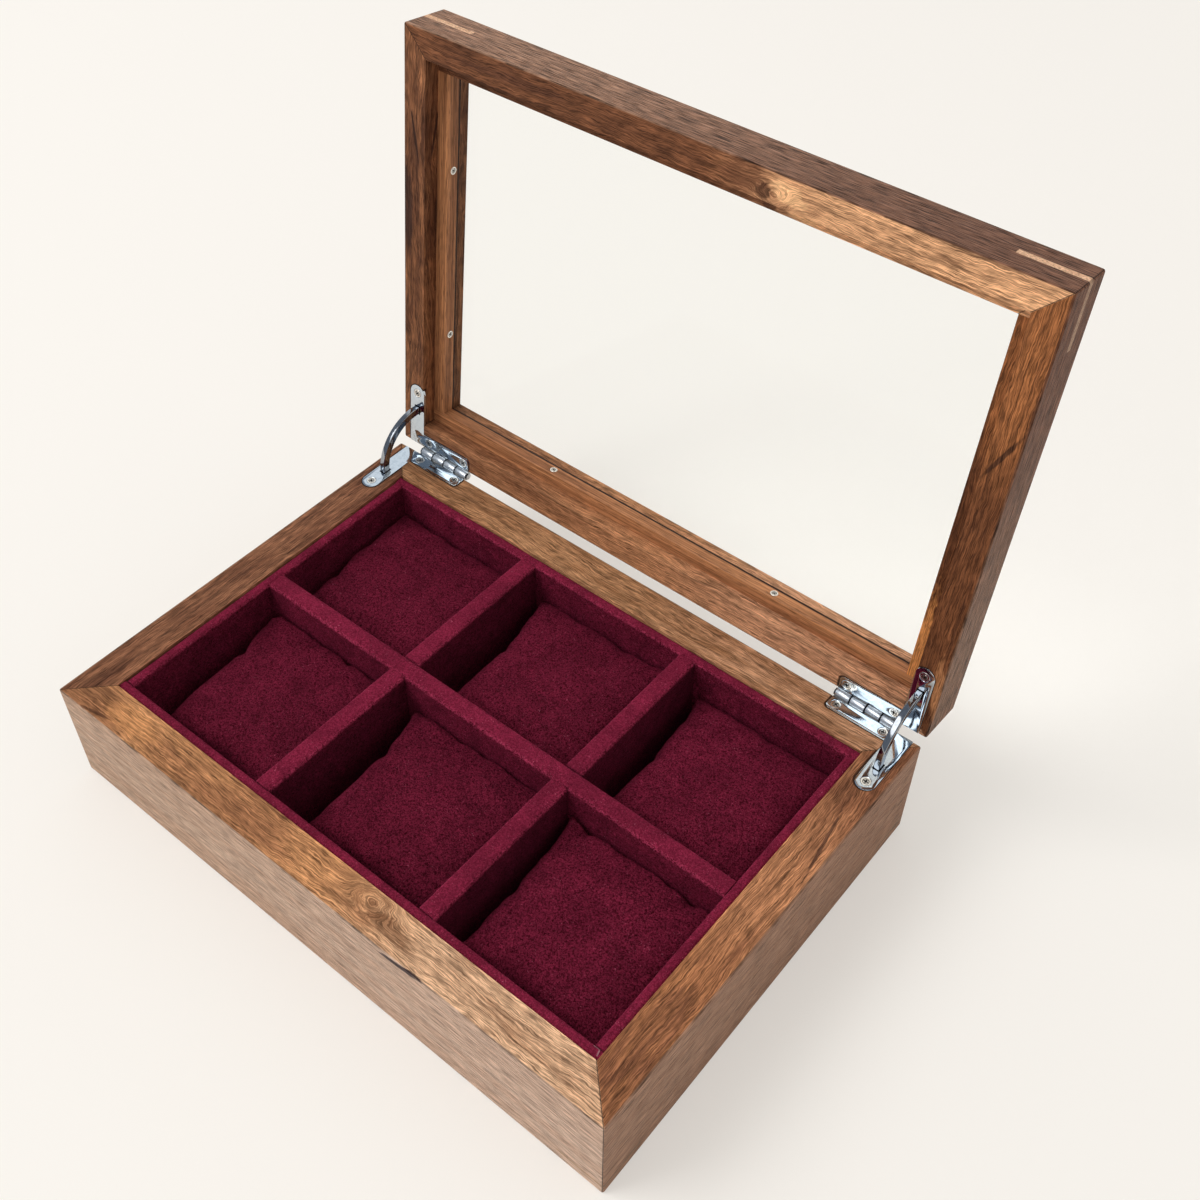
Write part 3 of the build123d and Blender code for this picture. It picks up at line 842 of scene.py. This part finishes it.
def lifted(look, x, y):
    """How far the seam climbs here: part way along each edge, and most in the corners."""
    rises, peaks = look.rises, look.peaks
    edge = rises.left * max(-x, 0) ** 3 + rises.right * max(x, 0) ** 3
    end = rises.front * max(-y, 0) ** 3 + rises.back * max(y, 0) ** 3
    corners = (
        (-x, -y, peaks.front_left), (x, -y, peaks.front_right),
        (-x, y, peaks.back_left), (x, y, peaks.back_right),
    )
    peak = sum(height * (max(over, 0) * max(out, 0)) ** 1.6 for over, out, height in corners)
    mild = 1 - abs(x * y) ** 1.6
    return (peak + (edge * (1 - abs(y) ** 3) + end * (1 - abs(x) ** 3)) * mild) * MM


def tucked(tuck, x, y, z):
    """A point of the cushion drawn down and inwards by a tuck."""
    to_x, to_y = INWARD[tuck.side]
    sideways, inward = (y if to_x else x), 1 + x * to_x + y * to_y
    pinch = math.exp(-((sideways - tuck.place) / tuck_width) ** 2 - (inward / tuck.reach) ** 2)
    step = tuck_pull * tuck.depth * pinch
    return x + step * to_x, y + step * to_y, z - tuck.depth * MM * pinch


def settle(case, node, look, seed):
    """Press a filled case into its compartment: near the walls at its corners, drawn in between."""
    low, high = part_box(node)
    walls = compartment(node)
    places = [vertex.co.copy() for vertex in case.data.vertices]
    reach = max(place.x for place in places)
    waist = max(place.x for place in places if abs(place.y) < waist_band * reach)
    crown = max(place.z for place in places)

    def straightened(value, other):
        """-1 to 1 from side to side, whatever the waist of the case."""
        half = waist + (reach - waist) * abs(other / reach) ** corner_pull
        return max(-1.0, min(1.0, value / half))

    def drawn_in(gap, draw, other, wave):
        """How far a side stays from its wall here."""
        shape = 1 - abs(other) ** 3
        uneven = 0.2 * noise.noise(Vector((other * 2.1, wave, seed * 4.7)))
        return (gap + draw * max(shape * (1 + uneven) + uneven * 0.3 * shape, 0)) * MM

    for vertex, place in zip(case.data.vertices, places):
        x, y = straightened(place.x, place.y), straightened(place.y, place.x)
        over = place.z / crown
        full = math.copysign(abs(over) ** fullness, over)
        seam = seam_height + lifted(look, x, y)
        z = seam + full * ((high.z - seam) if over > 0 else (seam - low.z) * belly)
        z += lump_height * noise.noise(Vector((x * 2.9, y * 2.9, seed * 3.7 + (2 if over > 0 else 0))))
        for tuck in look.tucks:
            x, y, z = tucked(tuck, x, y, z)
        x_low = walls.left + drawn_in(look.gaps.left - look.slant * y, look.draws.left, y, 1.0)
        x_high = walls.right - drawn_in(look.gaps.right, look.draws.right, y, 2.0)
        y_low = walls.front + drawn_in(look.gaps.front, look.draws.front, x, 3.0)
        y_high = walls.back - drawn_in(look.gaps.back, look.draws.back, x, 4.0)
        vertex.co = (
            x_low + (x_high - x_low) * (x + 1) / 2,
            y_low + (y_high - y_low) * (y + 1) / 2,
            min(max(z, low.z), high.z),
        )


def stuff_cushions():
    """Six velvet cushions in place of the plain ones."""
    for seed, (node, look) in enumerate(CUSHIONS.items()):
        cushion = sew_case(f"velvet_{node}", seed + 1)
        fill_case(cushion)
        settle(cushion, node, look, seed)
        rounding = cushion.modifiers.new("rounding", "SUBSURF")
        rounding.levels = rounding.render_levels = 1
        rounded = taken(cushion)
        cushion.modifiers.clear()
        cushion.data = rounded
        for face in rounded.polygons:
            face.use_smooth = True
        rounded.materials.append(velvet(f"velvet {node}", seed + 20, look.lightness))
        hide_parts(node)
        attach(cushion, node)


stuff_cushions()


# Metal.

darkening_colour = (0.02, 0.02, 0.025)
# sheen_colour is the paler tint painted on the barrel, as painted light.
sheen_colour = (0.92, 0.97, 1.0)
rod_easing = 1.1 * MM
plate_easing = 0.16 * MM


def plated(name, colour, shade, roughness, wave, darkened=None, rubbed_and_lit=None):
    """Bright plate: a faint wave, in millimetres, smears in its polish, darkened places, and places dulled by
    rubbing, which are also painted brighter.
    """
    finish = Finish(name, metallic=1.0)
    point = finish.place()
    uneven = finish.cloud(finish.scaled(point, 1 / 9), 1.0, 0.4, 0.4)
    smear = finish.cloud(finish.scaled(point, 1 / 2.4), 3.0, 0.6, 0.9).rise(0.42, 0.7)
    streaks = finish.node("ShaderNodeMapping", {}, {"Vector": point, "Scale": (3.4, 0.35, 1.2)})
    scratch = finish.cloud(streaks, 2).rise(0.6, 0.75)
    darkening = darkened(finish, point) if darkened else 0.0
    dulled_and_lit = rubbed_and_lit(finish, point) if rubbed_and_lit else 0.0
    tint = finish.mix(finish.mix(colour, shade, smear * 0.5 + uneven * 0.25), sheen_colour, dulled_and_lit)
    return finish.show(
        base_color=finish.mix(tint, darkening_colour, darkening),
        roughness=roughness + (smear + scratch) * (1 - dulled_and_lit) * 0.05 + darkening * 0.3 + dulled_and_lit * 0.3,
        normal=finish.bump(uneven, wave * MM),
    )


# The hinges' barrels, in millimetres. The first knuckle starts this far in from the box's side.

knuckle_start = 13.0
knuckle_length = 7.5
knuckle_count = 4
barrel_radius = 2.85
first_knuckle = high_corner.x / MM - knuckle_start


def round_barrel(finish, point):
    """How far a point lies from the hinge's axis, and how far out from the box's middle."""
    axis = Vector(hinge["pos_m"]) / MM
    from_axis = (finish.away(point, axis, to_back) ** 2 + finish.away(point, axis, upward) ** 2).root()
    return from_axis, finish.away(point, origin, to_right).size()


def knuckle_dark_lines(finish, point):
    """Dark lines between the knuckles, and where the barrel meets its plates."""
    from_axis, out = round_barrel(finish, point)
    joint = (out - first_knuckle).size()
    for place in range(1, knuckle_count + 1):
        joint = joint.least((out - (first_knuckle - knuckle_length * place)).size())
    rings = (1 - joint.rise(0.15, 0.5)) * (1 - from_axis.rise(barrel_radius - 0.25, barrel_radius + 0.35))
    crease = (from_axis - barrel_radius).size().rise(0.4, 0.15)
    return rings.most(crease * (1 - out.rise(first_knuckle + 0.5, first_knuckle + 1.0)) * 0.8)


def barrel_wear_and_light(finish, point):
    """The barrel, dulled to a soft satin by rubbing, and painted paler and brighter, as painted light."""
    from_axis, out = round_barrel(finish, point)
    inside = 1 - from_axis.rise(barrel_radius - 0.55, barrel_radius - 0.25)
    return inside * (1 - out.rise(first_knuckle, first_knuckle + 0.5))


def eased(node, body, material, width, segments):
    """A copy of a metal node with its sharp edges eased, so that they catch the light."""
    piece = placed(f"chrome_{node}", frame["nodes"][node].data.copy())
    shape = welded(piece.data)
    bmesh.ops.dissolve_limit(shape, angle_limit=math.radians(1), verts=shape.verts, edges=shape.edges)
    shape.to_mesh(piece.data)
    shape.free()
    piece.data.materials.clear()
    piece.data.materials.append(material)
    easing = piece.modifiers.new("easing", "BEVEL")
    easing.width = width
    easing.segments = segments
    easing.limit_method = "ANGLE"
    easing.angle_limit = math.radians(40)
    easing.harden_normals = True
    for face in piece.data.polygons:
        face.use_smooth = True
        face.material_index = 0
    shaped = taken(piece)
    piece.modifiers.clear()
    piece.data = shaped
    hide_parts(node)
    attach(piece, body)


def fit_hinges():
    """Chrome leaves and pins, and for the stay arms' rods a darker copy of the chrome, as painted shade."""
    chrome = plated(
        "chrome plate", colour=(0.6, 0.66, 0.71), shade=(0.46, 0.52, 0.58), roughness=0.06, wave=0.004,
        darkened=knuckle_dark_lines, rubbed_and_lit=barrel_wear_and_light,
    )
    shaded_rod = plated(
        "chrome rod", colour=(0.36, 0.38, 0.41), shade=(0.22, 0.24, 0.26), roughness=0.07, wave=0.003
    )
    for body, nodes in frame["record"]["behaviour"]["bodies"].items():
        for node in nodes:
            if node.startswith("stay_arm_"):
                eased(node, body, shaded_rod, rod_easing, 4)
            elif node.startswith("hinge_") and not node.endswith("screws"):
                eased(node, body, chrome, plate_easing, 2)


fit_hinges()


# Screws, set by geometry nodes on one vertex for each. The template's sizes are shares of its head's
# radius: rings from the tip to the top, and a cross slot that tapers to its floor.

SCREW_RINGS = (
    (0.16, -4.5), (0.42, -4.1), (0.42, -0.62), (1.0, -0.2), (1.0, -0.08), (0.93, 0.0),
    (0.66, 0.0), (0.62, -0.08), (0.56, -0.08), (0.5, 0.0),
)
# The head's edge rings and groove rings are painted darker, as painted shade.
EDGE_RINGS = (3, 4)
GROOVE_RINGS = (7, 8)
screw_sides = 24
slot_half, slot_arm = 0.13, 0.44
slot_taper = 0.8
slot_depth = 0.34
flat_within = 0.02 * MM
ScrewRow = namedtuple("ScrewRow", "node body head_radius facing_of turn_seed")


def screw_rings(shape):
    """The screw's turned outside, from its tip up, open at the top. The rings of vertices come back."""
    angles = [2 * math.pi * step / screw_sides for step in range(screw_sides)]
    rings = []
    for radius, height in SCREW_RINGS:
        rings.append([shape.verts.new((radius * math.cos(a), radius * math.sin(a), height)) for a in angles])
    for lower, upper in zip(rings, rings[1:]):
        for step in range(screw_sides):
            after = (step + 1) % screw_sides
            shape.faces.new((lower[step], lower[after], upper[after], upper[step]))
    shape.faces.new(rings[0][::-1])
    return rings


def turn_screw():
    """A cross-slot screw with a head one unit in radius, its top at the origin."""
    shape = bmesh.new()
    rings = screw_rings(shape)
    half, arm = slot_half, slot_arm
    outline = [
        (arm, -half), (arm, half), (half, half), (half, arm), (-half, arm), (-half, half),
        (-arm, half), (-arm, -half), (-half, -half), (-half, -arm), (half, -arm), (half, -half),
    ]
    lip = [shape.verts.new((x, y, 0.0)) for x, y in outline]
    floor = [shape.verts.new((x * slot_taper, y * slot_taper, -slot_depth)) for x, y in outline]
    edges = [shape.edges.new(pair) for pair in zip(lip, lip[1:] + lip[:1])]
    edges += [shape.edges.get(pair) for pair in zip(rings[-1], rings[-1][1:] + rings[-1][:1])]
    bmesh.ops.triangle_fill(shape, edges=edges, use_beauty=True, use_dissolve=False)
    for i, point in enumerate(lip):
        after = (i + 1) % len(lip)
        shape.faces.new((point, lip[after], floor[after], floor[i]))
    shape.faces.new(floor)
    bmesh.ops.recalc_face_normals(shape, faces=shape.faces)
    shape.verts.index_update()
    # Painted shade: the slot's floor, the groove and the head's edge are marked for full darkening, the slot's lip
    # for half.
    hollow = [0.0] * len(shape.verts)
    for point in floor + lip + [corner for ring in GROOVE_RINGS + EDGE_RINGS for corner in rings[ring]]:
        hollow[point.index] = 0.5 if point in lip else 1.0
    mesh = bpy.data.meshes.new("screw")
    shape.to_mesh(mesh)
    shape.free()
    mesh.attributes.new("hollow", "FLOAT", "POINT").data.foreach_set("value", hollow)
    return placed("screw", mesh)


def screw_painted_shade(finish, point):
    """Painted shade in the cross, in the groove round it, and at the head's edge."""
    return finish.node("ShaderNodeAttribute", {"attribute_name": "hollow"}, {}, "Fac") * 0.9


def screw_setter():
    """Geometry nodes: one screw on each vertex, facing its stored direction and turned at random."""
    tree = bpy.data.node_groups.new("screw setter", "GeometryNodeTree")
    inputs = {
        "Places": "Geometry", "Screw": "Object", "Head Radius": "Float",
        "Plating": "Material", "Turn Seed": "Int",
    }
    for name, kind in inputs.items():
        tree.interface.new_socket(name, in_out="INPUT", socket_type=f"NodeSocket{kind}")
    tree.interface.new_socket("Screws", in_out="OUTPUT", socket_type="NodeSocketGeometry")
    given = tree.nodes.new("NodeGroupInput")
    shown = tree.nodes.new("NodeGroupOutput")
    template = tree.nodes.new("GeometryNodeObjectInfo")
    facing = tree.nodes.new("GeometryNodeInputNamedAttribute")
    facing.data_type = "FLOAT_VECTOR"
    facing.inputs["Name"].default_value = "facing"
    aim = tree.nodes.new("FunctionNodeAlignRotationToVector")
    aim.axis = "Z"
    chance = tree.nodes.new("FunctionNodeRandomValue")
    chance.data_type = "FLOAT"
    chance.inputs[3].default_value = math.pi
    turn = tree.nodes.new("FunctionNodeAxisAngleToRotation")
    twist = tree.nodes.new("FunctionNodeRotateRotation")
    twist.rotation_space = "LOCAL"
    setting = tree.nodes.new("GeometryNodeInstanceOnPoints")
    whole = tree.nodes.new("GeometryNodeRealizeInstances")
    plating = tree.nodes.new("GeometryNodeSetMaterial")
    link = tree.links.new
    link(given.outputs["Places"], setting.inputs["Points"])
    link(given.outputs["Screw"], template.inputs["Object"])
    link(template.outputs["Geometry"], setting.inputs["Instance"])
    link(next(out for out in facing.outputs if out.enabled), aim.inputs["Vector"])
    link(given.outputs["Turn Seed"], chance.inputs["Seed"])
    link(next(out for out in chance.outputs if out.enabled), turn.inputs["Angle"])
    link(aim.outputs["Rotation"], twist.inputs["Rotation"])
    link(turn.outputs["Rotation"], twist.inputs["Rotate By"])
    link(twist.outputs["Rotation"], setting.inputs["Rotation"])
    link(given.outputs["Head Radius"], setting.inputs["Scale"])
    link(setting.outputs["Instances"], whole.inputs["Geometry"])
    link(whole.outputs["Geometry"], plating.inputs["Geometry"])
    link(given.outputs["Plating"], plating.inputs["Material"])
    link(plating.outputs["Geometry"], shown.inputs["Screws"])
    return tree


def islands(shape):
    """The separate parts of a mesh, each a list of its points, in the order of their first vertices."""
    seen = set()
    for start in shape.verts:
        if start in seen:
            continue
        seen.add(start)
        island = [start]
        for vertex in island:
            for other in (edge.other_vert(vertex) for edge in vertex.link_edges):
                if other not in seen:
                    seen.add(other)
                    island.append(other)
        yield [vertex.co for vertex in island]


def centre(points):
    """The middle of the points' bounding box."""
    return (Vector(map(min, *points)) + Vector(map(max, *points))) / 2


def screw_heads(node, facing_of):
    """Where each screw of a CAD node has its head, and the way it faces."""
    shape = welded(frame["nodes"][node].data)
    heads = []
    for points in islands(shape):
        facing = facing_of(centre(points))
        top = max(point.dot(facing) for point in points)
        face = [point for point in points if point.dot(facing) > top - flat_within]
        heads.append((centre(face), facing))
    shape.free()
    return heads


def drive_screws(row, setter, screw, plating):
    """Set a row of screws in place of a CAD node's plain ones."""
    heads = screw_heads(row.node, row.facing_of)
    mesh = bpy.data.meshes.new(row.node)
    mesh.from_pydata([tuple(place) for place, facing in heads], [], [])
    facings = mesh.attributes.new("facing", "FLOAT_VECTOR", "POINT")
    facings.data.foreach_set("vector", [number for place, facing in heads for number in facing])
    screws = placed(f"steel_{row.node}", mesh)
    setting = screws.modifiers.new("setter", "NODES")
    setting.node_group = setter
    values = {"Screw": screw, "Head Radius": row.head_radius, "Plating": plating, "Turn Seed": row.turn_seed}
    for item in setter.interface.items_tree:
        if item.in_out == "INPUT" and item.name in values:
            setting[item.identifier] = values[item.name]
    screws.data = taken(screws)
    screws.modifiers.clear()
    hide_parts(row.node)
    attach(screws, row.body)


def strip_facing(place):
    """Towards the middle of the pane, square to the strip that the screw is in."""
    from_middle = place - (lid_foot + box_depth / 2 * lid_up)
    over, up = from_middle.x, from_middle.dot(lid_up)
    if abs(over) / box_length > abs(up) / box_depth:
        return -math.copysign(1, over) * to_right
    return -math.copysign(1, up) * lid_up


def drive_all_screws():
    """The screws of both hinges' leaves, and those of the strips round the pane."""
    plating = plated(
        "nickel screws", colour=(0.86, 0.82, 0.75), shade=(0.62, 0.59, 0.54), roughness=0.16, wave=0.006,
        darkened=screw_painted_shade,
    )
    setter = screw_setter()
    screw = turn_screw()
    for row in (
        ScrewRow("hinge_base_screws", "base", 2.25 * MM, lambda place: upward, 1),
        ScrewRow("hinge_lid_screws", "lid", 2.25 * MM, lambda place: -lid_back, 2),
        ScrewRow("glass_strip_screws", "lid", 1.88 * MM, strip_facing, 3),
    ):
        drive_screws(row, setter, screw, plating)
    bpy.data.objects.remove(screw)


drive_all_screws()


# Glass.

def clear_glass():
    """A clear pane that lets lamp light through."""
    finish = Finish(
        "clear glass", base_color=(0.985, 0.995, 0.99), roughness=0.0, ior=1.13, transmission_weight=1.0
    )
    through = finish.node("ShaderNodeBsdfTransparent", {}, {"Color": (0.97, 0.98, 0.975)})
    return finish.cover(finish.either(finish.ray("Shadow"), finish.shader, through))


paint("glass_pane", clear_glass())


# The camera, placed as the photograph was taken.

camera_place = Vector((274.3, -265.3, 536.1)) * MM
camera_turn = math.radians(39.55)
camera_dip = math.radians(46.0)
camera_shift = (0.0134, -0.0232)
focal_length_px = 1450.7
frame_px = 1200
sensor_width = 36


def place_camera():
    """The fitted camera, turned to the left of straight back and dipped below level."""
    camera = placed("camera", bpy.data.cameras.new("camera"))
    level = Vector((-math.sin(camera_turn), math.cos(camera_turn), 0))
    gaze = math.cos(camera_dip) * level - math.sin(camera_dip) * upward
    camera.location = camera_place
    camera.rotation_mode = "QUATERNION"
    camera.rotation_quaternion = gaze.to_track_quat("-Z", "Y")
    camera.data.sensor_width = sensor_width
    camera.data.lens = sensor_width * focal_length_px / frame_px
    camera.data.shift_x, camera.data.shift_y = camera_shift
    camera.data.clip_start = 0.01
    bpy.context.scene.camera = camera


place_camera()
bpy.context.scene.view_settings.view_transform = "Standard"


# The studio, in metres: a pale floor, one large soft lamp and an even sky.

lamp_place = Vector((-2.1, -2.0, 3.4))
lamp_width = 2.4
lamp_share = 0.44
lamp_colour = (1.0, 0.995, 0.985)
sky_share = 0.66
sky_colour = (1.0, 0.975, 0.935)
floor_reach = 15.0
floor_drop = 0.2 * MM
floor_colour = (0.965, 0.94, 0.905)
backdrop = (0.985, 0.955, 0.905)
backdrop_share = 0.4
fade_mm = (900, 3500)
dim_room = (0.24, 0.27, 0.32)
bright_room = (0.95, 0.99, 1.03)
window_light = (3.0, 3.0, 3.0)
window_direction = Vector((-0.18, -0.6, 0.78))


def lay_floor():
    """Pale paper that keeps a softened shadow, and turns into the backdrop further out."""
    corners = [(-1, -1), (1, -1), (1, 1), (-1, 1)]
    mesh = bpy.data.meshes.new("floor")
    mesh.from_pydata([(x * floor_reach, y * floor_reach, -floor_drop) for x, y in corners], [], [(0, 1, 2, 3)])
    floor = placed("floor", mesh)
    paper = Finish("floor paper", roughness=0.9, specular_ior_level=0.1, base_color=floor_colour)
    glow = paper.node("ShaderNodeEmission", {}, {"Color": backdrop})
    seen = paper.ray("Camera", "Transmission")
    away = paper.node("ShaderNodeVectorMath", {"operation": "LENGTH"}, {0: paper.place()}, "Value")
    share = backdrop_share + (1 - backdrop_share) * away.rise(*fade_mm)
    mesh.materials.append(paper.cover(paper.either(seen * share, paper.shader, glow)))


def hang_lamp():
    """A square soft lamp whose light on a surface facing it is lamp_share of full white."""
    lamp = placed("soft lamp", bpy.data.lights.new("soft lamp", "AREA"))
    lamp.data.size = lamp_width
    lamp.location = lamp_place
    lamp.rotation_mode = "QUATERNION"
    lamp.rotation_quaternion = (-lamp_place).to_track_quat("-Z", "Y")
    lamp.data.energy = lamp_share * math.pi ** 2 * lamp_place.length_squared
    lamp.data.color = lamp_colour
    lamp.visible_glossy = False


def open_sky():
    """Even light all round. Eyes and glass see the backdrop. Metal sees a bright room behind the box, a
    dim one in front of it, and one window."""
    world = bpy.data.worlds.new("studio")
    bpy.context.scene.world = world
    world.use_nodes = True
    sky = Recipe(world.node_tree)
    light = sky.tree.nodes["Background"]
    sky.feed(light, "Color", sky_colour)
    sky.feed(light, "Strength", sky_share)
    seen = sky.node("ShaderNodeBackground", {}, {"Color": backdrop})
    gaze = sky.node("ShaderNodeTexCoord", {}, {}, "Generated")
    behind = sky.towards(gaze, to_back).rise(0.15, 0.42)
    window = sky.towards(gaze, window_direction).rise(0.93, 0.965)
    room = sky.mix(sky.mix(dim_room, bright_room, behind), window_light, window)
    mirrored = sky.node("ShaderNodeBackground", {}, {"Color": room})
    pick = sky.either(sky.ray("Glossy"), light, mirrored)
    pick = sky.either(sky.ray("Camera", "Transmission"), pick, seen)
    sky.feed(sky.tree.nodes["World Output"], "Surface", pick)


lay_floor()
hang_lamp()
open_sky()
